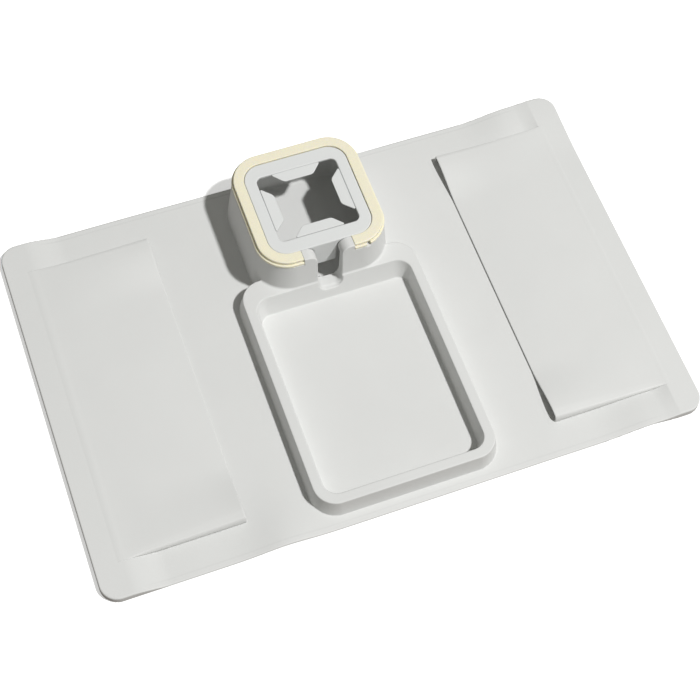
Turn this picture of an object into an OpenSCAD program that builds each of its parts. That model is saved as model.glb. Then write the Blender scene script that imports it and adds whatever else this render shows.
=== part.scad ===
// Sofa arm tray: a soft silicone mat with a shallow tray, a square cup holder and two end pockets.
// Millimetres, +Z up. The origin is the middle of the mat's underside; -Y is the tray's front.

/* [Mat] */
// Length of the mat over both wings
mat_l = 580; // [540:1:640]
// Width of the mat, front to back
mat_w = 372; // [350:1:420]
// Thickness of the soft sheet
sheet_t = 2; // [1.6:0.1:2.6]
// Corner radius of the mat at its underside
mat_r = 17; // [8:1:22]
// Inward slope of the mat's edge over the height of the end bands
mat_draft = 1.5; // [0.5:0.1:3]
// Distance of each fold line from the middle
fold_x = 120; // [108:1:135]
// Air left between the rolled edge of a wing and the centre sheet
fold_gap = 0.3; // [0.2:0.05:0.5]

/* [End bands] */
// Width of the thick band along each end
band_w = 24; // [20:1:32]
// Thickness of the band
band_t = 8; // [7:0.5:10]
// Length of the slope from the sheet up to the band
band_ramp = 15; // [6:1:20]
// Length of the weight bar moulded into the band
bar_l = 320; // [240:5:330]
// Width of the weight bar
bar_w = 14; // [8:1:16]
// Thickness of the weight bar
bar_t = 4; // [2:0.5:5]

/* [Pockets] */
// Distance of each pocket mouth from the middle
mouth_x = 151; // [145:1:170]
// Length of the pocket, front to back
pocket_l = 306; // [260:1:320]
// Thickness of the pocket panel
pocket_t = 1.6; // [1.2:0.1:1.8]
// Height of the panel's top above the sheet at the mouth
pocket_rise = 8.5; // [7.5:0.5:12]
// How far the middle of the mouth hangs below its ends
pocket_sag = 1.5; // [0:0.1:1.5]
// Width of the seam that holds the panel to the sheet
seam_w = 3; // [2:0.5:6]
// Width of the panel's sloping side at the mouth
side_run = 9; // [5:0.5:14]
// Width of the panel's sloping side beside the end band
side_run_end = 3; // [2:0.5:5]

/* [Tray] */
// Width of the tray over its rim
tray_w = 174; // [150:1:190]
// Height of the rim above the sheet
tray_h = 20; // [14:1:28]
// Width of the rim's flat top at the sides and the front
rim_w = 9.4; // [6:0.2:12]
// Width of the rim's flat top at the back
rim_back_w = 20; // [16:1:26]
// Corner radius of the rim's outer edge
tray_r = 21; // [18:1:26]
// Corner radius of the rim's inner edge
tray_inner_r = 14; // [10:1:17]
// Outward lean of the outer wall over its height
tray_draft = 3.6; // [1:0.2:5]
// Inward lean of the side and front inner walls over their height
tray_inner_draft = 3.2; // [1:0.2:5]
// Inward lean of the back inner wall over its height
tray_back_lean = 8.4; // [4:0.2:10]
// Sheet left in front of the tray
front_margin = 12.4; // [8:0.2:24]

/* [Cup holder] */
// Width of the holder at its top, on both sides of the square
holder_w = 126; // [120:1:134]
// Height of the holder above the sheet
holder_h = 60; // [52:1:70]
// Corner radius of the holder at its top
holder_r = 30; // [26:1:34]
// Outward lean of the holder's wall over its height
holder_draft = 8; // [4:0.5:10]
// Thickness of the holder's floor
floor_t = 3; // [2:0.5:5]
// Width of the well below the collar
well_w = 114; // [104:1:115]
// Width of the clear opening inside the collar
collar_w = 95; // [90:1:98]
// Height of the collar that carries the insert
collar_h = 8.5; // [6:0.5:12]

/* [Notch] */
// Width of the notch in the front wall
notch_w = 24; // [18:1:30]
// Height of the notch's floor above the sheet
notch_floor = 9.4; // [6:0.2:16]
// Corner radius at the notch's floor
notch_r = 8; // [4:0.5:9]
// Radius of the rounded shoulders at the notch's top
shoulder_r = 9; // [5:0.5:10]
// Width of the gap between the ring's ends
ring_gap = 50; // [48:1:56]

/* [Trim ring] */
// Width of the ring seen from above
ring_w = 12; // [10:0.5:13]
// Height of the ring
ring_t = 7; // [6:0.5:9]
// How far the ring stands out past the holder's top edge
ring_proud = 0.5; // [0:0.1:1]
// Height of the ring's upper band
ring_band_t = 3.8; // [3:0.1:4.4]
// Height of the groove under the upper band
ring_groove_t = 0.8; // [0.4:0.1:1.2]
// Depth of the groove
ring_groove_d = 1; // [0.5:0.1:1.1]
// Width of the small pry notch in the ring's front corner
pry_w = 4; // [2:0.5:6]
// Depth of the pry notch, deeper than the groove
pry_d = 1.6; // [1.3:0.1:2.5]
// Place of the pry notch round the ring's front right corner, back from straight ahead
pry_turn = 12; // [5:1:60]

/* [Insert] */
// Thickness of the insert's plate
plate_t = 3; // [2.4:0.1:3.4]
// Depth of the plate's top below the ring's top
plate_drop = 1; // [0:0.1:1.5]
// Air beside the tongue's flare in its slot in the collar
slot_gap = 2; // [1:0.1:3]
// Air between the insert and what it sits in
insert_gap = 0.4; // [0.3:0.05:0.8]
// Width of the insert's opening
opening_w = 80; // [72:1:84]
// Depth of the insert's opening, front to back
opening_d = 74; // [66:1:84]
// Corner radius of the opening
opening_r = 6; // [3:0.5:10]
// Width of the tongue behind the notch
tongue_w = 23; // [18:0.5:24]
// Length of the tongue below the plate
tongue_l = 31.5; // [24:0.5:40]
// Corner radius at the tongue's tip
tongue_r = 1.5; // [1:0.5:4]
// Radius of the tongue's flare under the plate
flare_r = 9; // [8:0.5:12]
// Height over which the tongue flares
flare_h = 7; // [4:0.5:7.5]
// Thickness of the tongue
tongue_t = 2.2; // [1.6:0.1:3]

/* [Flaps] */
// Width of a flap at its root
flap_w = 48; // [36:1:52]
// Width of a flap at its tip
flap_tip_w = 29; // [20:1:32]
// Length of a flap from its fold to its tip
flap_l = 10; // [6:0.5:12]
// Thickness of a flap
flap_t = 2; // [1.6:0.1:2.2]
// Air between a flap's rolled root and the plate
flap_gap = 0.3; // [0.2:0.05:0.5]

/* [Hidden] */
$fn = 96;
hull_fn = 48;
// A cut reaches this far past the face that it opens
over = 1;
silicone = "#d7d7d4";
cream = "#f2ecd2";
pale_grey = "#e1e1df";
steel = "#8d9196";

half_l = mat_l / 2;
half_w = mat_w / 2;
band_x = half_l - band_w;
pocket_half = pocket_l / 2;

holder_top = sheet_t + holder_h;
holder_base_half = holder_w / 2 + holder_draft;
holder_y = half_w - holder_base_half;
tray_top = sheet_t + tray_h;
apron_half = holder_w / 2 - holder_r;
// The holder's front face at the height of the tray's rim
rim_face_y = holder_y - holder_half(tray_top);
tray_front_y = front_margin - half_w;
tray_back_y = rim_face_y + rim_back_w + tray_draft;
tray_base_half = tray_w / 2 + tray_draft;
tray_mid_y = (tray_front_y + tray_back_y) / 2;
tray_half_y = (tray_back_y - tray_front_y) / 2;
cavity_half = tray_w / 2 - rim_w;
cavity_front_y = tray_front_y + tray_draft + rim_w;

ring_half = holder_w / 2 + ring_proud;
ring_inner_half = ring_half - ring_w;
ring_r = holder_r + ring_proud;
ring_inner_r = ring_r - ring_w;
ring_z = holder_top - ring_t;
plate_z = holder_top - plate_drop - plate_t;
plate_half = ring_inner_half - insert_gap;
plate_r = ring_inner_r - insert_gap;
collar_half = collar_w / 2;
collar_r = ring_inner_r - (ring_inner_half - collar_half);
well_half = well_w / 2;
well_r = ring_inner_r + well_half - ring_inner_half;
well_z = sheet_t + floor_t;
// The tongue's slot in the collar clears it by the insert's gap on each side
slot_half = tongue_w / 2 + flare_r - sqrt(pow(flare_r, 2) - pow(flare_h, 2)) + slot_gap;
slot_y = holder_y - ring_inner_half;
flap_root = flap_t / 2 + flap_gap;
side_flap_r = opening_w / 2 - flap_root;
end_flap_r = opening_d / 2 - flap_root;
flap_axis_z = plate_z + plate_t - flap_t / 2;

// Half width of the holder's outside at a height above the mat's underside
function holder_half(z) = holder_base_half - holder_draft * (z - sheet_t) / holder_h;
function smooth(t) = t * t * (3 - 2 * t);
function flip(list) = [for (i = [len(list) - 1:-1:0]) list[i]];

// A block with rounded corners and walls that lean in by draft over its height
module leaning_block(half_x, half_y, r, h, draft) {
    for (sx = [-1, 1], sy = [-1, 1])
        translate([sx * (half_x - r), sy * (half_y - r), 0])
            cylinder(r1 = r, r2 = r - draft, h = h);
    rotate([90, 0, 90])
        linear_extrude(height = 2 * (half_x - r), center = true)
            polygon([[-half_y, 0], [half_y, 0], [half_y - draft, h], [draft - half_y, h]]);
    rotate([90, 0, 0])
        linear_extrude(height = 2 * (half_y - r), center = true)
            polygon([[-half_x, 0], [half_x, 0], [half_x - draft, h], [draft - half_x, h]]);
}

// A square block with rounded upright corners
module round_square_block(half, r, h) {
    round_block(half, half, r, h);
}

module round_block(half_x, half_y, r, h) {
    linear_extrude(height = h) {
        for (sx = [-1, 1], sy = [-1, 1])
            translate([sx * (half_x - r), sy * (half_y - r)])
                circle(r = r);
        square([2 * half_x, 2 * (half_y - r)], center = true);
        square([2 * (half_x - r), 2 * half_y], center = true);
    }
}

// The whole mat's outline at band height, from which each sheet is cut
module mat_outline() {
    leaning_block(half_l, half_w, mat_r, band_t, mat_draft);
}

module centre_mat() {
    edge_x = fold_x - sheet_t / 2 - fold_gap;
    color(silicone)
        intersection() {
            mat_outline();
            translate([-edge_x, -half_w, 0])
                cube([2 * edge_x, mat_w, sheet_t]);
        }
}

// Slope beside the pocket, from the sheet up to the band's top
module band_slope() {
    margin = half_w - pocket_half;
    rotate([90, 0, 0])
        linear_extrude(height = margin)
            polygon([[band_x - band_ramp, sheet_t], [band_x, sheet_t], [band_x, band_t]]);
}

module wing() {
    difference() {
        intersection() {
            mat_outline();
            union() {
                translate([fold_x, -half_w, 0])
                    cube([half_l - fold_x, mat_w, sheet_t]);
                translate([fold_x, half_w, sheet_t / 2])
                    rotate([90, 0, 0])
                        cylinder(d = sheet_t, h = mat_w);
                translate([band_x, -half_w, 0])
                    cube([band_w, mat_w, band_t]);
                translate([0, half_w, 0])
                    band_slope();
                translate([0, -pocket_half, 0])
                    band_slope();
            }
        }
        bar_shape();
    }
}

module bar_shape() {
    translate([half_l - band_w / 2, 0, band_t / 2])
        cube([bar_w, bar_l, bar_t], center = true);
}

// The pocket panel is a thin shell: sewn-down edges, sloping sides and a top that sags at the mouth
len_steps = 8;
side_steps = 4;
mid_steps = 8;
function panel_rise(u) = pocket_rise + (band_t - sheet_t - pocket_rise) * u;
function panel_run(u) = side_run + (side_run_end - side_run) * u;
function side_y(u) = [0, seam_w, for (k = [1:side_steps]) seam_w + panel_run(u) * k / side_steps];
function side_z(u) = [
    pocket_t,
    pocket_t,
    for (k = [1:side_steps]) pocket_t + (panel_rise(u) - pocket_t) * smooth(k / side_steps)
];
function mid_half(u) = pocket_half - seam_w - panel_run(u);
function mid_y(u) = [for (m = [1:mid_steps - 1]) mid_half(u) * (2 * m / mid_steps - 1)];
function mid_z(u) = [
    for (m = [1:mid_steps - 1])
        panel_rise(u) - pocket_sag * pow(1 - u, 2) * pow(sin(180 * m / mid_steps), 2)
];
function row_y(u) = concat(
    [for (d = side_y(u)) d - pocket_half],
    mid_y(u),
    [for (d = flip(side_y(u))) pocket_half - d]
);
function row_z(u) = concat(side_z(u), mid_z(u), flip(side_z(u)));
function panel_points(drop) = [
    for (i = [0:len_steps])
        let (u = i / len_steps, ys = row_y(u), zs = row_z(u))
            for (j = [0:len(ys) - 1])
                [mouth_x + (band_x - mouth_x) * u, ys[j], sheet_t + zs[j] - drop]
];

module pocket_panel() {
    n = len(row_y(0));
    under = n * (len_steps + 1);
    last = n * len_steps;
    faces = [
        for (i = [0:len_steps - 1], j = [0:n - 2])
            let (a = i * n + j, b = a + 1, c = a + n, d = c + 1)
                each [[a, b, d], [a, d, c], [under + a, under + d, under + b], [under + a, under + c, under + d]],
        for (j = [0:n - 2])
            let (e = last + j)
                each [
                    [j + 1, j, under + j],
                    [j + 1, under + j, under + j + 1],
                    [e, e + 1, under + e + 1],
                    [e, under + e + 1, under + e]
                ],
        for (i = [0:len_steps - 1])
            let (a = i * n, c = a + n, p = a + n - 1, q = p + n)
                each [
                    [a, c, under + c],
                    [a, under + c, under + a],
                    [q, p, under + p],
                    [q, under + p, under + q]
                ]
    ];
    polyhedron(points = concat(panel_points(0), panel_points(pocket_t)), faces = faces);
}

// The inside of the tray, wider at the rim than at the floor
module tray_cavity() {
    hull()
        for (z = [sheet_t - over, tray_top + over])
            let (t = (tray_top - z) / tray_h)
                for (sx = [-1, 1], back = [0, 1])
                    let (
                        r = tray_inner_r - tray_inner_draft * t,
                        x = cavity_half - tray_inner_draft * t - r,
                        front_y = cavity_front_y + tray_inner_draft * t + r,
                        back_y = rim_face_y - tray_back_lean * t - r
                    )
                        translate([sx * x, back == 1 ? back_y : front_y, z])
                            cylinder(r = r, h = 0.01, center = true, $fn = hull_fn);
}

module holder_outside() {
    translate([0, holder_y, sheet_t])
        leaning_block(holder_base_half, holder_base_half, holder_r + holder_draft, holder_h, holder_draft);
}

module tray_wall() {
    color(silicone)
        difference() {
            translate([0, tray_mid_y, sheet_t])
                leaning_block(tray_base_half, tray_half_y, tray_r + tray_draft, tray_h, tray_draft);
            tray_cavity();
            holder_outside();
            translate([-apron_half, rim_face_y - tray_back_lean - over, sheet_t - over])
                cube([2 * apron_half, rim_back_w + tray_back_lean, tray_h + 2 * over]);
        }
}

// The holder's front foot, which closes the middle of the tray's back wall
module apron() {
    rotate([90, 0, 90])
        linear_extrude(height = 2 * apron_half, center = true)
            polygon([
                [rim_face_y - tray_back_lean, sheet_t],
                [rim_face_y, tray_top],
                [holder_y - well_half, sheet_t]
            ]);
}

// A strip from low_z to top_z with rounded lower corners, which flares out from flare_z upwards
module flared_strip(w, low_z, low_r, top_z, flare_z, bend_r) {
    half = w / 2;
    for (s = [-1, 1])
        translate([s * (half - low_r), low_z + low_r])
            circle(r = low_r);
    translate([low_r - half, low_z])
        square([w - 2 * low_r, 2 * low_r]);
    translate([-half, low_z + low_r])
        square([w, top_z - low_z - low_r]);
    difference() {
        translate([-half - bend_r, flare_z])
            square([w + 2 * bend_r, top_z - flare_z]);
        for (s = [-1, 1])
            translate([s * (half + bend_r), flare_z])
                circle(r = bend_r);
    }
}

module notch() {
    back_y = holder_y - collar_half + over;
    shoulder_z = holder_top - shoulder_r;
    translate([0, back_y, 0])
        rotate([90, 0, 0])
            linear_extrude(height = back_y - rim_face_y + tray_back_lean + over)
                flared_strip(notch_w, sheet_t + notch_floor, notch_r, holder_top + over, shoulder_z, shoulder_r);
}

// The ring's place: everything outside the collar except the shoulders beside the notch
module ring_space(grow) {
    difference() {
        round_square_block(ring_half + grow, ring_r + grow, ring_t + grow);
        translate([0, 0, -over])
            round_square_block(ring_inner_half, ring_inner_r, ring_t + grow + 2 * over);
        translate([-ring_gap / 2, -ring_half - grow - over, -over])
            cube([ring_gap, ring_half, ring_t + grow + 2 * over]);
    }
}

module cup_holder() {
    color(silicone)
        difference() {
            union() {
                holder_outside();
                apron();
            }
            translate([0, holder_y, well_z])
                round_square_block(well_half, well_r, plate_z - collar_h - well_z);
            translate([0, holder_y, plate_z - collar_h - over])
                round_square_block(collar_half, collar_r, collar_h + 2 * over);
            translate([0, holder_y, plate_z])
                round_square_block(ring_inner_half, ring_inner_r, holder_top - plate_z + over);
            translate([0, holder_y, ring_z])
                ring_space(over);
            translate([-slot_half, slot_y, plate_z - collar_h - over])
                cube([2 * slot_half, ring_inner_half - collar_half + over, collar_h + 2 * over]);
            notch();
        }
}

module trim_ring() {
    lip_t = ring_t - ring_band_t - ring_groove_t;
    color(cream)
        translate([0, holder_y, ring_z])
            difference() {
                ring_space(0);
                translate([0, 0, lip_t])
                    difference() {
                        round_square_block(ring_half + over, ring_r + over, ring_groove_t);
                        translate([0, 0, -over])
                            round_square_block(
                                ring_half - ring_groove_d,
                                ring_r - ring_groove_d,
                                ring_groove_t + 2 * over
                            );
                    }
                translate([ring_half - ring_r, ring_r - ring_half, -over])
                    rotate([0, 0, pry_turn - 90])
                        translate([ring_r - pry_d, -pry_w / 2, 0])
                            cube([2 * pry_d, pry_w, lip_t + over + ring_groove_t / 2]);
            }
}

module insert_frame() {
    color(pale_grey)
        translate([0, holder_y, plate_z]) {
            difference() {
                round_square_block(plate_half, plate_r, plate_t);
                translate([0, 0, -over])
                    round_block(opening_w / 2, opening_d / 2, opening_r, plate_t + 2 * over);
            }
            translate([0, tongue_t - plate_half, 0])
                rotate([90, 0, 0])
                    linear_extrude(height = tongue_t)
                        flared_strip(tongue_w, -tongue_l, tongue_r, 0, -flare_h, flare_r);
        }
}

// A flap at one side of the opening; turns of 90 degrees give the four sides
module flap(turn, axis_r) {
    color(pale_grey)
        translate([0, holder_y, flap_axis_z])
            rotate([0, 0, turn])
                translate([0, -axis_r, 0]) {
                    rotate([0, 90, 0])
                        cylinder(d = flap_t, h = flap_w, center = true);
                    translate([0, 0, -flap_t / 2])
                        linear_extrude(height = flap_t)
                            polygon([
                                [-flap_w / 2, 0],
                                [flap_w / 2, 0],
                                [flap_tip_w / 2, flap_l],
                                [-flap_tip_w / 2, flap_l]
                            ]);
                }
}

module right_wing() {
    color(silicone) wing();
}

module left_wing() {
    color(silicone) mirror([1, 0, 0]) wing();
}

module right_pocket_panel() {
    color(silicone) pocket_panel();
}

module left_pocket_panel() {
    color(silicone) mirror([1, 0, 0]) pocket_panel();
}

module right_weight_bar() {
    color(steel) bar_shape();
}

module left_weight_bar() {
    color(steel) mirror([1, 0, 0]) bar_shape();
}

centre_mat();
tray_wall();
cup_holder();
trim_ring();
left_wing();
left_pocket_panel();
left_weight_bar();
right_wing();
right_pocket_panel();
right_weight_bar();
insert_frame();
flap(0, end_flap_r);  // front_flap
flap(90, side_flap_r);  // right_flap
flap(180, end_flap_r);  // back_flap
flap(270, side_flap_r);  // left_flap
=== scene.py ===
import math

import bmesh
import bpy
import numpy as np
from mathutils import Matrix, Vector


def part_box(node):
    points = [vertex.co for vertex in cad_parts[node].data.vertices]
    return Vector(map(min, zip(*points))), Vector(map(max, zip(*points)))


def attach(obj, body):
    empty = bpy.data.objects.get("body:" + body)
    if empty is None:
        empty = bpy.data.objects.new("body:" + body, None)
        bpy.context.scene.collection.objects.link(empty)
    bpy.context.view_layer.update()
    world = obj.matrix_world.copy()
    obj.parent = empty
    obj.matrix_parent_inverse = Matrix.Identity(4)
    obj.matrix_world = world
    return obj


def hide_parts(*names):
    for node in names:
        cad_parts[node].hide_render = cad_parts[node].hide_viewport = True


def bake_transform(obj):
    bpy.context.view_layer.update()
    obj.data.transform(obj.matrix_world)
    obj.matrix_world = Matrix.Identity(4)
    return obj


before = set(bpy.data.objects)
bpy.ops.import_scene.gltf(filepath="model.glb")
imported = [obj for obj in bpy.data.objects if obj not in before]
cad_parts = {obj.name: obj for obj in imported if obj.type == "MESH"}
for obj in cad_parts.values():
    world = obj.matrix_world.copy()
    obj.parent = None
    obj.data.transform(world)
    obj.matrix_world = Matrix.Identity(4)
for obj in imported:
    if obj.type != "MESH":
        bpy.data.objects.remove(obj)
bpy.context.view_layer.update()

MM = 0.001


def corners_of(node):
    """Lowest and highest corner of a solid, in millimetres."""
    low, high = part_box(node)
    return np.array(low) / MM, np.array(high) / MM


# Mat
wing_low, wing_high = corners_of("right_wing")
half_l = wing_high[0]
half_w = wing_high[1]
band_t = wing_high[2]
sheet_t = corners_of("centre_mat")[1][2]
mat_r = 17
mat_draft = 0.4
band_inner_x = half_l - 26
right_ramp = 15
left_ramp = 36
seam_x = 100
fold_start = 111
fold_end = 133
sheet_edge_r = 0.8
band_edge_r = 1.3
under_edge_r = 0.5
bar_edge_r = 0.5
# Free edge of the sheet beside an end band, which rises to meet the band's upper part
rise_h = 4.4
rise_from = 183
rise_to = 236
drop_from = 236
drop_to = 264
margin_from = 118
# The right wing's back corner curls up
curl_h = 4
curl_from = 196
curl_to = 262
curl_from_y = 110
# Ripple in the front edge beside the left fold
ripple_h = 5
ripple_x = -122
ripple_half_x = 27
ripple_half_y = 42

# Pockets
panel_low, panel_high = corners_of("right_pocket_panel")
mouth_x = panel_low[0]
pocket_half = panel_high[1]
panel_t = 1.6
panel_end_x = panel_high[0] + 7
front_run = 3.6
back_run = 1.5
run_at_band = 0.65
side_power = 2.2
mouth_open_z = 11
mouth_flat_z = sheet_t + panel_t + 0.5
mouth_flat_to = 95
mouth_open_from = 144

# Tray
tray_low, tray_high = corners_of("tray_wall")
tray_base_half = tray_high[0]
tray_front_y = tray_low[1]
tray_back_y = tray_high[1]
tray_top = tray_high[2]
tray_h = tray_top - sheet_t
rim_w = 9.4
tray_draft = 3.6
tray_inner_draft = 3.2
tray_back_lean = 8.4
tray_r = 21 + tray_draft
tray_inner_r = 14
rim_edge_r = 0.8
tray_floor_r = 0.9
foot_r = 0.6

# Cup holder
holder_low, holder_high = corners_of("cup_holder")
ring_low, ring_high = corners_of("trim_ring")
holder_base_half = holder_high[0]
holder_y = holder_high[1] - holder_base_half
holder_top = ring_high[2]
holder_h = holder_top - sheet_t
holder_draft = 8
holder_slim = 1.8
holder_base_r = 38
well_z = sheet_t + 3
well_half = 57
well_r = 24
collar_half = 47.5
collar_r = 14.5
collar_z = 49.5
rim_face_y = holder_y - holder_base_half + holder_draft * tray_h / holder_h

# Notch in the holder's front wall
notch_half = 12
notch_z = sheet_t + 9.4
notch_r = 8
shoulder_r = 9

# Trim ring
ring_half = ring_high[0]
ring_r = 30.5
ring_w = 12
ring_z = ring_low[2]
ring_gap_half = 25
ring_gap_air = 0.15
ring_edge_r = 0.9
lip_w = 1.8
lip_top = 58.2
groove_h = 0.7
groove_d = 0.9
pry_half = 2
pry_d = 4.2
pry_foot = 53.8
pry_top = 58.8
pry_turn = math.radians(12 - 90)

# Insert and flaps
insert_low, insert_high = corners_of("insert_frame")
plate_half = insert_high[0]
plate_top = insert_high[2]
plate_t = 3
plate_r = 18.1
plate_edge_r = 0.8
opening_half_x = 40
opening_half_y = 37
opening_r = 6
tongue_z = insert_low[2]
tongue_half = 11.5
tongue_t = 2.2
tongue_r = 2
flare_r = 9
flare_h = 7
flap_half = 24
flap_tip_half = 14.5
flap_l = 10
flap_t = 2
flap_tip_t = 1.3
flap_axis_z = 60


# Distance fields: negative inside, positive outside
def ease(t):
    t = np.clip(t, 0, 1)
    return t * t * (3 - 2 * t)


def round_max(a, b, r):
    """What lies inside both a and b, with the edge between them rounded."""
    return np.minimum(-r, np.maximum(a, b)) + np.hypot(np.maximum(a + r, 0), np.maximum(b + r, 0))


def round_min(a, b, r):
    """What lies inside a or b, with a fillet where they meet."""
    return -round_max(-a, -b, r)


def box_distance(x, y, half_x, half_y):
    """Distance from an upright box, seen from above."""
    dx = np.abs(x) - half_x
    dy = np.abs(y) - half_y
    return np.hypot(np.maximum(dx, 0), np.maximum(dy, 0)) + np.minimum(np.maximum(dx, dy), 0)


def square(x, y, half, r):
    return box_distance(x, y, half - r, half - r) - r


def mat_rise(x, y):
    """How far the right wing's free edges stand clear of the ground; the left wing's lie on it."""
    edge = ease((np.abs(y) - margin_from) / (half_w - margin_from))
    return rise_h * edge * ease((x - rise_from) / (rise_to - rise_from))


def mat_top(x, y):
    """The sheet climbs to the band in a steep ramp on the right, and slowly on the left."""
    rise = mat_rise(x, y)
    steep = np.clip((x - band_inner_x + right_ramp) / right_ramp, 0, 1) ** 1.5
    slow = ease((-x - band_inner_x + left_ramp) / left_ramp)
    return sheet_t + rise + (band_t - sheet_t - rise) * np.where(x > 0, steep, slow)


def mat_bottom(x, y):
    return mat_rise(x, y) * (1 - ease((x - drop_from) / (drop_to - drop_from)))


def mat_field(x, y, z):
    a = np.abs(x)
    outline = box_distance(x, y, half_l - mat_r, half_w - mat_r) - mat_r + mat_draft * z / band_t
    soft = sheet_edge_r + (band_edge_r - sheet_edge_r) * ease((a - band_inner_x + 8) / 8)
    upper = round_max(outline, z - mat_top(x, y), soft)
    return round_max(upper, mat_bottom(x, y) - z, under_edge_r)


def tray_cavity(x, y, z):
    t = (tray_top - z) / tray_h
    r = tray_inner_r - tray_inner_draft * t
    half_x = tray_base_half - tray_draft - rim_w - tray_inner_draft * t
    front = tray_front_y + tray_draft + rim_w + tray_inner_draft * t
    back = rim_face_y - tray_back_lean * t
    return box_distance(x, y - (front + back) / 2, half_x - r, (back - front) / 2 - r) - r


def notch_field(x, y, z):
    opening = round_max(np.abs(x) - notch_half, notch_z - z, notch_r)
    return np.maximum(opening, np.maximum(y - holder_y + collar_half - 1, rim_face_y - 16 - y))


def leaning(x, y, half_x, half_y, r, rise, draft):
    """A block with rounded corners, given at its foot, whose walls lean in by draft at rise 1."""
    return (box_distance(x, y, half_x - r, half_y - r) - r + draft * rise) * 0.99


def holder_hollow(x, y, z):
    """The well, the collar, the seats of the ring and the insert, and the tongue's slot."""
    well = np.maximum(round_max(square(x, y, well_half, well_r), well_z - z, 3), z - collar_z)
    collar = np.maximum(square(x, y, collar_half, collar_r), collar_z - 1 - z)
    seat_side = square(x, y, ring_half - ring_w, ring_r - ring_w)
    plate_seat = np.maximum(seat_side, plate_top - plate_t - z)
    gap = np.maximum(np.abs(x) - ring_gap_half, y)
    ring_seat = np.maximum(np.maximum(ring_z - z, -seat_side), -gap)
    slot_half = tongue_half + flare_r - math.sqrt(flare_r ** 2 - flare_h ** 2) + 2
    slot_y = np.maximum(ring_w - ring_half - y, y + collar_half - 1)
    slot = np.maximum(np.maximum(np.abs(x) - slot_half, slot_y), collar_z - 1 - z)
    hollow = np.minimum(np.minimum(well, collar), np.minimum(plate_seat, ring_seat))
    return np.minimum(hollow, slot)


def pry_slot(x, y, z):
    """A slot across one corner of the ring's lip and down into the holder's wall."""
    corner = ring_half - ring_r
    along = (x - corner) * math.cos(pry_turn) + (y + corner) * math.sin(pry_turn)
    across = (y + corner) * math.cos(pry_turn) - (x - corner) * math.sin(pry_turn)
    height = np.maximum(pry_foot - z, z - pry_top)
    return np.maximum(np.maximum(np.abs(across) - pry_half, ring_r - pry_d - along), height)


def moulding_field(x, y, z):
    """The mat's middle, the tray's wall and the cup holder, moulded in one."""
    cavity = tray_cavity(x, y, z)
    notch = notch_field(x, y, z)
    rise = (z - sheet_t) / tray_h
    mid_y = (tray_front_y + tray_back_y) / 2
    tray = leaning(x, y - mid_y, tray_base_half, (tray_back_y - tray_front_y) / 2, tray_r, rise, tray_draft)
    tray = round_max(round_max(tray, z - tray_top, rim_edge_r), -cavity, rim_edge_r)
    tray = round_max(tray, -notch, 0.9)
    rise = (z - sheet_t) / holder_h
    foot_half = holder_base_half - holder_slim
    holder = leaning(x, y - holder_y, foot_half, foot_half, holder_base_r, rise, holder_draft - holder_slim)
    holder = round_max(holder, round_max(z - holder_top, -notch, shoulder_r), 0.9)
    walls = round_min(tray, holder, 2)
    fillet = np.where(cavity < rim_w / 2, tray_floor_r, foot_r)
    body = np.maximum(round_min(walls, mat_field(x, y, z), fillet), -z)
    hollow = np.minimum(holder_hollow(x, y - holder_y, z), pry_slot(x, y - holder_y, z))
    return np.maximum(body, -hollow)


def ring_field(x, y, z):
    """An upper band that stands on a lip, with a fine groove between them."""
    outer = square(x, y, ring_half, ring_r)
    inner = square(x, y, ring_half - ring_w, ring_r - ring_w)
    lip = round_max(outer, np.maximum(ring_z - z, z - lip_top), 0.6)
    band = round_max(outer + lip_w, z - holder_top, ring_edge_r)
    band = np.maximum(band, ring_z - z)
    groove = np.maximum(np.abs(z - lip_top - groove_h / 2) - groove_h / 2, -outer - lip_w - groove_d)
    body = round_max(np.minimum(lip, np.maximum(band, -groove)), -inner, 0.5)
    gap = np.maximum(np.abs(x) - ring_gap_half - ring_gap_air, y)
    body = round_max(body, -gap, 0.3)
    return np.maximum(body, -pry_slot(x, y, z))


def insert_field(x, y, z):
    height = np.abs(z - plate_top + plate_t / 2) - plate_t / 2
    plate = round_max(square(x, y, plate_half, plate_r), height, plate_edge_r)
    opening = box_distance(x, y, opening_half_x - opening_r, opening_half_y - opening_r) - opening_r
    plate = round_max(plate, -opening, plate_edge_r)
    up = np.clip(z - plate_top + plate_t + flare_h, 0, flare_h)
    half = tongue_half + flare_r - np.sqrt(flare_r ** 2 - up ** 2)
    strip = round_max(np.abs(x) - half, tongue_z - z, tongue_r)
    strip = np.maximum(strip, z - plate_top + plate_t / 2)
    tongue = round_max(strip, np.abs(y + plate_half - tongue_t / 2) - tongue_t / 2, 0.8)
    return round_min(plate, tongue, 0.7)


def flap_field(x, y, z):
    """A flap that reaches along +Y from its fold."""
    half = flap_half + (flap_tip_half - flap_half) * y / flap_l
    plan = round_max((np.abs(x) - half) * 0.78, np.maximum(-flap_t / 2 - y, y - flap_l), 2)
    thick = flap_t + (flap_tip_t - flap_t) * y / flap_l
    return round_max(plan, np.abs(z) - thick / 2, 0.5)


# Meshes from distance fields
def grid_lines(start, *spans):
    """Grid lines from start, through spans of (end, step)."""
    lines = [np.array([start], float)]
    for end, step in spans:
        count = max(1, round((end - start) / step))
        lines.append(np.linspace(start, end, count + 1)[1:])
        start = end
    return np.concatenate(lines)


def mirrored(lines):
    """Lines on both sides of the middle, from lines that start at 0."""
    return np.concatenate([-lines[:0:-1], lines])


def gradient(field, p, h=0.02):
    g = np.empty_like(p)
    for axis in range(3):
        step = np.zeros(3)
        step[axis] = h
        a = p + step
        b = p - step
        g[:, axis] = (field(a[:, 0], a[:, 1], a[:, 2]) - field(b[:, 0], b[:, 1], b[:, 2])) / (2 * h)
    return g


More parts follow.
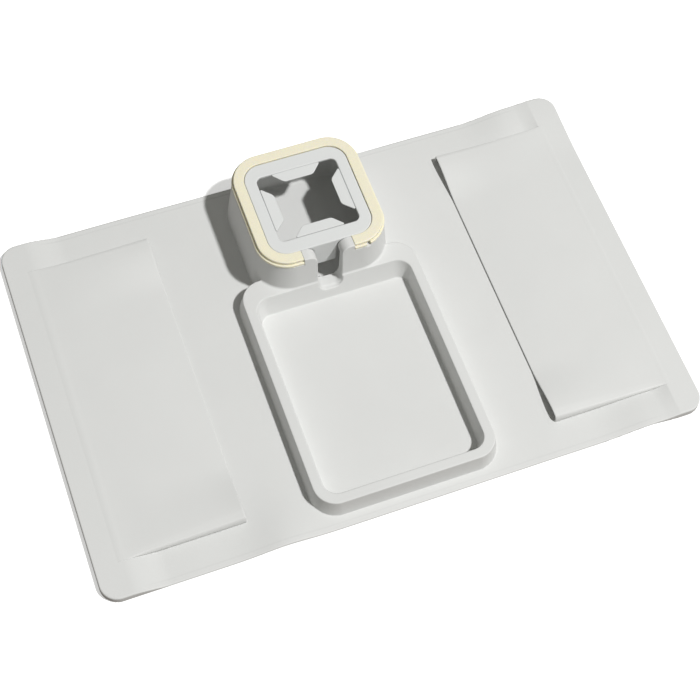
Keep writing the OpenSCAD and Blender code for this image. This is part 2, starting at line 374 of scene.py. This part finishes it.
def settle(field, p, keep=None, rounds=4):
    """Points moved onto the zero surface; those in keep hold their place along X."""
    for _ in range(rounds):
        g = gradient(field, p)
        if keep is not None:
            g[keep, 0] = 0
        d = field(p[:, 0], p[:, 1], p[:, 2])
        move = g * (d / np.maximum((g * g).sum(1), 0.05))[:, None]
        length = np.linalg.norm(move, axis=1, keepdims=True)
        p = p - move * np.minimum(1, 0.9 / np.maximum(length, 1e-9))
    return p


def net_points(f, axes):
    """One point in each grid cell that the surface crosses, and the cells' numbers."""
    inside = f < 0
    shape = tuple(n - 1 for n in f.shape)
    corner = {}
    for i in (0, 1):
        for j in (0, 1):
            for k in (0, 1):
                corner[i, j, k] = (slice(i, shape[0] + i), slice(j, shape[1] + j), slice(k, shape[2] + k))
    count = sum(inside[c].astype(np.int8) for c in corner.values())
    cells = np.argwhere((count > 0) & (count < 8))
    total = np.zeros((len(cells), 3))
    hits = np.zeros(len(cells))
    for a in corner:
        for axis in range(3):
            if a[axis]:
                continue
            b = tuple(v + (n == axis) for n, v in enumerate(a))
            ia = cells + a
            ib = cells + b
            fa = f[tuple(ia.T)]
            fb = f[tuple(ib.T)]
            cross = (fa < 0) != (fb < 0)
            t = np.where(cross, fa / np.where(cross, fa - fb, 1), 0)
            pa = np.stack([axes[n][ia[:, n]] for n in range(3)], 1)
            pb = np.stack([axes[n][ib[:, n]] for n in range(3)], 1)
            total += np.where(cross[:, None], pa + (pb - pa) * t[:, None], 0)
            hits += cross
    return total / hits[:, None], cells, inside, shape


def net_faces(inside, cells, shape):
    """Four-sided faces round each grid edge that the surface crosses."""
    number = np.full(shape, -1)
    number[tuple(cells.T)] = np.arange(len(cells))
    faces = []
    for axis in range(3):
        side = (axis + 1) % 3
        up = (axis + 2) % 3
        first = [slice(None)] * 3
        second = [slice(None)] * 3
        first[axis] = slice(0, -1)
        second[axis] = slice(1, None)
        leaving = inside[tuple(first)] & ~inside[tuple(second)]
        entering = ~inside[tuple(first)] & inside[tuple(second)]
        for edges, turn in ((leaving, 1), (entering, -1)):
            at = np.argwhere(edges)
            fits = (at[:, side] > 0) & (at[:, up] > 0)
            fits &= (at[:, side] < shape[side]) & (at[:, up] < shape[up])
            at = at[fits]
            ring = []
            for ds, du in ((1, 1), (0, 1), (0, 0), (1, 0)):
                cell = at.copy()
                cell[:, side] -= ds
                cell[:, up] -= du
                ring.append(number[tuple(cell.T)])
            faces.append(np.stack(ring, 1)[:, ::turn])
    return np.concatenate(faces)


def net_surface(field, xs, ys, zs, cut_low=None, cut_high=None):
    """Points, faces and normals of a field's surface; a cut ends it squarely at that X."""
    f = field(xs[:, None, None], ys[None, :, None], zs[None, None, :])
    points, cells, inside, shape = net_points(f, (xs, ys, zs))
    keep = np.zeros(len(points), bool)
    if cut_low is not None:
        keep |= cells[:, 0] == 0
        points[cells[:, 0] == 0, 0] = cut_low
    if cut_high is not None:
        keep |= cells[:, 0] == shape[0] - 1
        points[cells[:, 0] == shape[0] - 1, 0] = cut_high
    points = settle(field, points, keep)
    normals = gradient(field, points)
    normals[keep, 0] = 0
    normals /= np.maximum(np.linalg.norm(normals, axis=1, keepdims=True), 1e-9)
    return points, net_faces(inside, cells, shape), normals


def lift(x, y):
    """How far the whole sheet stands off the ground where it ripples."""
    ripple = np.exp(-((x - ripple_x) / ripple_half_x) ** 2 - ((y + half_w) / ripple_half_y) ** 2)
    slack = ease((np.abs(x) - seam_x) / 40) * (1 - ease((np.abs(x) - band_inner_x + 40) / 30))
    waves = 0.5 + 0.25 * np.sin(x / 23 + y / 61) + 0.25 * np.sin(y / 37 - x / 71 + 1)
    curl = ease((x - curl_from) / (curl_to - curl_from)) * ease((y - curl_from_y) / (half_w - curl_from_y))
    return ripple_h * ripple + curl_h * curl + 0.5 * slack * waves


def rippled(points, normals):
    x = points[:, 0]
    y = points[:, 1]
    points = points.copy()
    points[:, 2] += lift(x, y)
    slope_x = lift(x + 0.5, y) - lift(x - 0.5, y)
    slope_y = lift(x, y + 0.5) - lift(x, y - 0.5)
    normals = normals.copy()
    normals[:, 0] -= slope_x * normals[:, 2]
    normals[:, 1] -= slope_y * normals[:, 2]
    normals /= np.linalg.norm(normals, axis=1, keepdims=True)
    return points, normals


def add_piece(name, points, faces, normals, material):
    """A smooth mesh object from points in millimetres."""
    mesh = bpy.data.meshes.new(name)
    mesh.from_pydata((points * MM).tolist(), [], [list(map(int, f)) for f in faces])
    mesh.shade_smooth()
    if normals is not None:
        mesh.normals_split_custom_set_from_vertices(normals.tolist())
    mesh.materials.append(material)
    piece = bpy.data.objects.new(name, mesh)
    bpy.context.scene.collection.objects.link(piece)
    return piece


def cut_loop(points, faces, x):
    """The closed loop of points where a mesh ends at a cut, in order."""
    edges = np.concatenate([faces[:, [n, (n + 1) % 4]] for n in range(4)])
    at_cut = np.abs(points[edges][:, :, 0] - x).max(1) < 1e-6
    edges = edges[at_cut]
    known = set(map(tuple, edges.tolist()))
    after = {b: a for a, b in known if (b, a) not in known}
    start = next(iter(after))
    loop = [start]
    while after[loop[-1]] != start and len(loop) <= len(after):
        loop.append(after[loop[-1]])
    return loop


def closed(points, faces, *cuts):
    """The faces with one more over each cut."""
    return faces.tolist() + [cut_loop(points, faces, x) for x in cuts]


# Materials
def node(tree, kind, place=None, **values):
    made = tree.nodes.new(kind)
    for key, value in values.items():
        setattr(made, key, value)
    return made


def link(tree, a, b):
    tree.links.new(a, b)


def new_material(name, base, roughness, specular=0.4):
    material = bpy.data.materials.new(name)
    material.use_nodes = True
    tree = material.node_tree
    shader = tree.nodes["Principled BSDF"]
    shader.inputs["Base Color"].default_value = (*base, 1)
    shader.inputs["Roughness"].default_value = roughness
    shader.inputs["Specular IOR Level"].default_value = specular
    return material, tree, shader


def noise(tree, scale, detail=2.0, roughness=0.5):
    place = node(tree, "ShaderNodeTexCoord")
    made = node(tree, "ShaderNodeTexNoise")
    made.inputs["Scale"].default_value = scale
    made.inputs["Detail"].default_value = detail
    made.inputs["Roughness"].default_value = roughness
    link(tree, place.outputs["Object"], made.inputs["Vector"])
    return made.outputs["Fac"]


def ramp(tree, value, stops):
    made = node(tree, "ShaderNodeValToRGB")
    elements = made.color_ramp.elements
    while len(elements) < len(stops):
        elements.new(0.5)
    for element, (place, colour) in zip(elements, stops):
        element.position = place
        element.color = (*colour, 1)
    link(tree, value, made.inputs["Fac"])
    return made.outputs["Color"]


def shade(base, factor):
    return tuple(c * factor for c in base)


def span(tree, value, low, high, to_low, to_high):
    made = node(tree, "ShaderNodeMapRange")
    for name, number in zip(("From Min", "From Max", "To Min", "To Max"), (low, high, to_low, to_high)):
        made.inputs[name].default_value = number
    link(tree, value, made.inputs["Value"])
    return made.outputs["Result"]


def math_node(tree, operation, *values):
    made = node(tree, "ShaderNodeMath", operation=operation)
    for n, value in enumerate(values):
        if isinstance(value, (int, float)):
            made.inputs[n].default_value = value
        else:
            link(tree, value, made.inputs[n])
    return made.outputs["Value"]


def bump(tree, shader, height, distance, strength=1.0):
    """A bump over whatever bump the shader already has."""
    made = node(tree, "ShaderNodeBump")
    made.inputs["Strength"].default_value = strength
    made.inputs["Distance"].default_value = distance
    link(tree, height, made.inputs["Height"])
    before = shader.inputs["Normal"].links
    if before:
        link(tree, before[0].from_socket, made.inputs["Normal"])
    link(tree, made.outputs["Normal"], shader.inputs["Normal"])


def mottled(tree, shader, base, scale, depth):
    """Faint clouding of the colour."""
    clouds = noise(tree, scale, 3)
    colour = ramp(tree, clouds, ((0.3, shade(base, 1 - depth)), (0.7, shade(base, 1 + depth))))
    link(tree, colour, shader.inputs["Base Color"])


def silicone_material(name, base, border):
    material, tree, shader = new_material(name, base, 0.58, 0.35)
    mottled(tree, shader, base, 14, 0.012)
    rough = span(tree, noise(tree, 60, 3), 0.3, 0.7, 0.54, 0.64)
    link(tree, rough, shader.inputs["Roughness"])
    shader.inputs["Sheen Weight"].default_value = 0.08
    shader.inputs["Sheen Roughness"].default_value = 0.5
    bump(tree, shader, noise(tree, 1400, 2, 0.6), 0.00004, 0.6)
    bump(tree, shader, noise(tree, 45, 2), 0.00035, 0.35)
    if border:
        # A rim strip along the two long edges, set off by a fine groove that is plainest at the back; the
        # groove is painted shade, the colour darkened along it
        place = node(tree, "ShaderNodeTexCoord")
        parts = node(tree, "ShaderNodeSeparateXYZ")
        link(tree, place.outputs["Object"], parts.inputs["Vector"])
        inset = math_node(tree, "SUBTRACT", half_w * MM, math_node(tree, "ABSOLUTE", parts.outputs["Y"]))
        within = span(tree, math_node(tree, "ABSOLUTE", parts.outputs["X"]), 0.236, 0.252, 1, 0)
        within = math_node(tree, "MULTIPLY", within, span(tree, parts.outputs["Y"], -0.02, 0.02, 0.3, 1))
        strip = math_node(tree, "MULTIPLY", span(tree, inset, 0.005, 0.0062, 1, 0), within)
        bump(tree, shader, strip, 0.0002, 1)
        # Painted shade: the base colour is darkened to 0.82 along the groove, more at the back than at the
        # front
        apart = math_node(tree, "ABSOLUTE", math_node(tree, "SUBTRACT", inset, 0.0056))
        groove = math_node(tree, "MULTIPLY", span(tree, apart, 0.0003, 0.0011, 1, 0), within)
        groove_shade = node(tree, "ShaderNodeMix", data_type="RGBA", blend_type="MULTIPLY")
        link(tree, math_node(tree, "MULTIPLY", groove, 0.5), groove_shade.inputs["Factor"])
        link(tree, shader.inputs["Base Color"].links[0].from_socket, groove_shade.inputs[6])
        groove_shade.inputs[7].default_value = (0.82, 0.82, 0.82, 1)
        link(tree, groove_shade.outputs[2], shader.inputs["Base Color"])
    return material


def trim_material():
    base = (0.835, 0.79, 0.62)
    material, tree, shader = new_material("trim_cream", base, 0.42, 0.45)
    grain = noise(tree, 900, 4, 0.65)
    colour = ramp(tree, grain, ((0.32, shade(base, 0.95)), (0.68, shade(base, 1.035))))
    link(tree, colour, shader.inputs["Base Color"])
    rough = span(tree, noise(tree, 260, 2), 0.3, 0.7, 0.36, 0.5)
    link(tree, rough, shader.inputs["Roughness"])
    bump(tree, shader, noise(tree, 1100, 3), 0.00005, 0.5)
    # Light passes a little way into the cream plastic
    shader.inputs["Subsurface Weight"].default_value = 0.3
    shader.inputs["Subsurface Radius"].default_value = (1, 0.85, 0.45)
    shader.inputs["Subsurface Scale"].default_value = 0.003
    return material


def steel_material():
    base = (0.45, 0.46, 0.48)
    material, tree, shader = new_material("weight_steel", base, 0.35)
    shader.inputs["Metallic"].default_value = 1
    mottled(tree, shader, base, 40, 0.05)
    rough = span(tree, noise(tree, 500, 3), 0.3, 0.7, 0.28, 0.42)
    link(tree, rough, shader.inputs["Roughness"])
    return material


mat_silicone = silicone_material("mat_silicone", (0.668, 0.671, 0.661), True)
panel_silicone = silicone_material("panel_silicone", (0.668, 0.671, 0.661), False)
insert_silicone = silicone_material("insert_silicone", (0.69, 0.7, 0.695), False)
cream = trim_material()
steel = steel_material()


# Pieces
def make_moulding():
    xs = mirrored(grid_lines(0, (28, 1.3), (33, 2.5), (68, 1.4), (93, 0.9), (99, 3), (seam_x + 1, 2)))
    ys = grid_lines(
        -half_w - 1.5, (-half_w + 7, 1.1), (-167, 2), (-143, 0.9), (22, 6), (56, 0.95), (92, 1.3), (146, 3),
        (half_w + 1.5, 1.3)
    )
    low = (-1, 1, 1.7, 2.3, 3, 3.9, 5.2, 6.8, 8.6, 10.4, 12, 13.6, 15.4, 17.4, 19.2, 20.4, 21, 21.6, 22.2, 23.2)
    high = (26, 29, 33, 37, 41, 45, 48, 49, 50, 51.4, 53, 54.4, 55.6, 56.8, 57.6, 58.6, 59.8, 60.8, 61.5, 63)
    zs = np.array(low + high, float)
    points, faces, normals = net_surface(moulding_field, xs, ys, zs, -seam_x, seam_x)
    faces = closed(points, faces, -seam_x, seam_x)
    points, normals = rippled(points, normals)
    piece = add_piece("tray_moulding", points, faces, normals, mat_silicone)
    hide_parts("centre_mat", "tray_wall", "cup_holder")
    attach(piece, "middle")


def make_wings():
    xs = grid_lines(
        seam_x - 1, (seam_x + 1, 2), (fold_start, 3.3), (fold_end, 1.6), (192, 6), (228, 3), (246, 2.2),
        (half_l - 4, 1.5), (half_l + 1.5, 0.9)
    )
    ys = mirrored(grid_lines(0, (margin_from - 8, 7.5), (half_w - 20, 2.2), (half_w + 1.5, 1.2)))
    zs = grid_lines(-1, (1, 2), (band_t + 1.2, 1.1))
    for side, sign in (("right", 1), ("left", -1)):
        if sign > 0:
            points, faces, normals = net_surface(mat_field, xs, ys, zs, seam_x, None)
        else:
            points, faces, normals = net_surface(mat_field, -xs[::-1], ys, zs, None, -seam_x)
        faces = closed(points, faces, sign * seam_x)
        points, normals = rippled(points, normals)
        piece = add_piece(side + "_wing_sheet", points, faces, normals, mat_silicone)
        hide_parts(side + "_wing")
        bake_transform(piece)


def panel_top(x, y):
    """Height of a pocket panel's upper face: open at the mouth's two ends, lying down between them."""
    a = np.abs(x)
    u = np.clip((a - mouth_x) / (band_inner_x - mouth_x), 0, 1)
    opened = ease((np.abs(y) - mouth_flat_to) / (mouth_open_from - mouth_flat_to))
    mouth = mouth_flat_z + (mouth_open_z - mouth_flat_z) * opened
    past_band = ease((a - band_inner_x) / (panel_end_x - band_inner_x))
    top = mouth + (band_t + 0.05 - mouth) * u * (2 - u)
    foot = mat_top(x, y) + 0.25 * (1 - past_band)
    inward = pocket_half - np.abs(y)
    run = np.where(y < 0, front_run, back_run) * (1 - (1 - run_at_band) * u)
    side = (1 - (1 - np.clip(inward / run, 0, 1)) ** side_power) ** (1 / side_power)
    rounded = 0.9 * side + 0.1 * ease(inward / (3 * run))
    return foot + (np.maximum(top, foot) - foot) * rounded - 0.3 * past_band


def make_panels():
    """A thin shell: rows run from the mouth to the band, columns from front to back."""
    rows = grid_lines(mouth_x, (mouth_x + 4, 1), (band_inner_x - 24, 8), (panel_end_x, 2))
    columns = mirrored(grid_lines(
        0, (mouth_flat_to - 6, 9), (pocket_half - 16, 3), (pocket_half - 6, 1.2), (pocket_half - 1.5, 0.45),
        (pocket_half, 0.15)
    ))
    a, y = np.meshgrid(rows, columns, indexing="ij")
    half = panel_t / 2
    step = 0.1
    turns = np.radians([90, 60, 30, 0, -30, -60, -90])
    for side, sign in (("right", 1), ("left", -1)):
        x = sign * a
        slope_x = (panel_top(x + step, y) - panel_top(x - step, y)) / (2 * step)
        slope_y = (panel_top(x, y + step) - panel_top(x, y - step)) / (2 * step)
        normal = np.stack([-slope_x, -slope_y, np.ones_like(a)], -1)
        normal /= np.linalg.norm(normal, axis=-1, keepdims=True)
        middle = np.stack([x, y, panel_top(x, y)], -1) - normal * half
        along = np.array([-sign, 0, 0])
        edge = [middle[0] + half * (normal[0] * math.sin(t) + along * math.cos(t)) for t in turns]
        upper = list(middle[1:] + normal[1:] * half)
        lower = list(middle[1:] - normal[1:] * half)
        loops = upper[::-1] + edge + lower
        points = np.concatenate(loops)
        points[:, 2] += lift(points[:, 0], points[:, 1])
        wide = len(columns)
        at = np.arange(len(points)).reshape(len(loops), wide)
        faces = np.stack([at[:-1, :-1], at[1:, :-1], at[1:, 1:], at[:-1, 1:]], -1).reshape(-1, 4)
        rim = [[at[0, j], at[0, j + 1], at[-1, j + 1], at[-1, j]] for j in range(wide - 1)]
        ends = [at[:, -1].tolist(), at[::-1, 0].tolist()]
        shell = [list(f)[::sign] for f in faces.tolist() + rim + ends]
        piece = add_piece(side + "_pocket_sheet", points, shell, None, panel_silicone)
        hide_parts(side + "_pocket_panel")
        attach(piece, side + "_side")


def make_ring():
    xs = mirrored(grid_lines(0, (22, 4.4), (27, 0.9), (31, 2), (55, 0.95), (ring_half + 1.2, 0.7)))
    ys = mirrored(grid_lines(0, (31, 4.4), (55, 0.95), (ring_half + 1.2, 0.7)))
    zs = grid_lines(ring_z - 0.6, (57.4, 0.7), (59.2, 0.3), (holder_top - 1.2, 0.8), (holder_top + 0.6, 0.5))
    points, faces, normals = net_surface(ring_field, xs, ys, zs)
    points[:, 1] += holder_y
    piece = add_piece("glow_ring", points, faces, normals, cream)
    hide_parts("trim_ring")
    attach(piece, "middle")


def make_insert():
    xs = mirrored(grid_lines(0, (9, 3), (17, 0.9), (32, 3), (plate_half + 1.2, 0.95)))
    ys = mirrored(grid_lines(0, (30, 4), (plate_half - 4, 0.95), (plate_half + 1.2, 0.7)))
    zs = grid_lines(
        tongue_z - 0.8, (tongue_z + 3, 0.7), (50, 3), (plate_top - plate_t, 1), (plate_top + 0.6, 0.6)
    )
    points, faces, normals = net_surface(insert_field, xs, ys, zs)
    points[:, 1] += holder_y
    piece = add_piece("insert_plate", points, faces, normals, insert_silicone)
    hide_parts("insert_frame")
    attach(piece, "insert")


def make_flaps():
    """The four flaps round the opening, each turned a quarter further."""
    xs = mirrored(grid_lines(0, (10, 2.5), (flap_half + 1, 0.8)))
    ys = grid_lines(-flap_t / 2 - 0.6, (1, 0.6), (flap_l - 3, 0.9), (flap_l + 0.8, 0.7))
    zs = grid_lines(-1.5, (1.5, 0.5))
    points, faces, normals = net_surface(flap_field, xs, ys, zs)
    for turn, side in enumerate(("front", "right", "back", "left")):
        reach = corners_of(side + "_flap")
        root = -max(abs(reach[0][1] - holder_y), abs(reach[1][1] - holder_y))
        if side in ("left", "right"):
            root = -max(abs(reach[0][0]), abs(reach[1][0]))
        spin = np.array(Matrix.Rotation(math.radians(90 * turn), 3, "Z"))
        placed = (points + np.array([0, root + flap_t / 2, flap_axis_z])) @ spin.T
        placed[:, 1] += holder_y
        piece = add_piece(side + "_grip_flap", placed, faces, normals @ spin.T, insert_silicone)
        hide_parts(side + "_flap")
        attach(piece, side + "_flap")


def make_bars():
    """The steel bars in the end bands; they follow the sheet where it lifts."""
    for side in ("right", "left"):
        low, high = np.array(corners_of(side + "_weight_bar"))
        middle = (low + high) / 2
        half = (high - low) / 2

        def bar_field(x, y, z):
            sides = np.maximum(np.abs(x) - half[0], np.abs(y) - half[1])
            return round_max(sides, np.abs(z) - half[2], bar_edge_r)

        xs = mirrored(grid_lines(0, (half[0] + 1.6, 1.6)))
        ys = mirrored(grid_lines(0, (half[1] - 5, 6), (half[1] + 1.6, 1.2)))
        zs = mirrored(grid_lines(0, (half[2] + 1, 0.7)))
        points, faces, normals = net_surface(bar_field, xs, ys, zs)
        points, normals = rippled(points + middle, normals)
        piece = add_piece(side + "_steel_bar", points, faces, normals, steel)
        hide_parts(side + "_weight_bar")
        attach(piece, side + "_side")


make_moulding()
make_wings()
make_panels()
make_ring()
make_insert()
make_flaps()
make_bars()


# Stage, light and camera
def seen_white(tree, lit):
    """A shader that is plain white to the camera, and to mirrors and glass, and lit otherwise."""
    path = node(tree, "ShaderNodeLightPath")
    seen = math_node(tree, "MAXIMUM", path.outputs["Is Camera Ray"], path.outputs["Is Glossy Ray"])
    seen = math_node(tree, "MAXIMUM", seen, path.outputs["Is Transmission Ray"])
    white = node(tree, "ShaderNodeBackground")
    white.inputs["Color"].default_value = (1, 1, 1, 1)
    white.inputs["Strength"].default_value = 1
    mix = node(tree, "ShaderNodeMixShader")
    link(tree, seen, mix.inputs["Fac"])
    link(tree, lit, mix.inputs[1])
    link(tree, white.outputs["Background"], mix.inputs[2])
    return mix.outputs["Shader"]


fill_strength = 0.195
key_watts = 350
key_height = 5.5
key_size = 0.36
key_towards = Vector((0.40, -0.33, 1))
floor_z = -0.0004


def make_world():
    world = bpy.data.worlds.new("studio")
    world.use_nodes = True
    tree = world.node_tree
    sky = tree.nodes["Background"]
    sky.inputs["Color"].default_value = (1, 1, 0.93, 1)
    sky.inputs["Strength"].default_value = fill_strength
    link(tree, seen_white(tree, sky.outputs["Background"]), tree.nodes["World Output"].inputs["Surface"])
    bpy.context.scene.world = world


def make_floor():
    """A floor that is white to the camera, keeps the object's shadow and throws little light back."""
    mesh = bpy.data.meshes.new("floor")
    reach = 4
    corners = [(x * reach, y * reach, floor_z) for x, y in ((-1, -1), (1, -1), (1, 1), (-1, 1))]
    mesh.from_pydata(corners, [], [(0, 1, 2, 3)])
    floor = bpy.data.objects.new("floor", mesh)
    bpy.context.scene.collection.objects.link(floor)
    material, tree, shader = new_material("floor_white", (0.9, 0.9, 0.9), 0.9, 0)
    shader.inputs["Emission Color"].default_value = (1, 1, 1, 1)
    shader.inputs["Emission Strength"].default_value = 0.45
    path = node(tree, "ShaderNodeLightPath")
    seen = math_node(tree, "MAXIMUM", path.outputs["Is Camera Ray"], path.outputs["Is Transmission Ray"])
    dull = node(tree, "ShaderNodeBsdfDiffuse")
    dull.inputs["Color"].default_value = (0.3, 0.27, 0.25, 1)
    mix = node(tree, "ShaderNodeMixShader")
    link(tree, seen, mix.inputs["Fac"])
    link(tree, dull.outputs["BSDF"], mix.inputs[1])
    link(tree, shader.outputs["BSDF"], mix.inputs[2])
    link(tree, mix.outputs["Shader"], tree.nodes["Material Output"].inputs["Surface"])
    mesh.materials.append(material)


def make_key():
    lamp = bpy.data.lights.new("key", "AREA")
    lamp.shape = "DISK"
    lamp.energy = key_watts
    lamp.color = (1, 1, 0.998)
    lamp.size = key_size
    key = bpy.data.objects.new("key", lamp)
    key.location = key_towards * key_height
    key.rotation_euler = key_towards.to_track_quat("Z", "Y").to_euler()
    bpy.context.scene.collection.objects.link(key)


def make_camera():
    """The photograph's view: azimuth, elevation and roll in degrees, distance and target in metres."""
    azimuth = math.radians(-25.2)
    elevation = math.radians(63.16)
    roll = math.radians(5.73)
    distance = 1.414
    target = Vector((-0.0038, -0.0202, 0))
    flat = math.cos(elevation)
    back = Vector((math.sin(azimuth) * flat, -math.cos(azimuth) * flat, math.sin(elevation)))
    right = (-back).cross(Vector((0, 0, 1))).normalized()
    up = right.cross(-back)
    rolled_right = right * math.cos(roll) + up * math.sin(roll)
    rolled_up = up * math.cos(roll) - right * math.sin(roll)
    data = bpy.data.cameras.new("camera")
    data.sensor_width = 36
    data.lens = 76.94
    camera = bpy.data.objects.new("camera", data)
    turn = Matrix((rolled_right, rolled_up, back)).transposed().to_4x4()
    camera.matrix_world = Matrix.Translation(target + back * distance) @ turn
    bpy.context.scene.collection.objects.link(camera)
    bpy.context.scene.camera = camera


make_world()
make_floor()
make_key()
make_camera()
bpy.context.scene.view_settings.view_transform = "Standard"
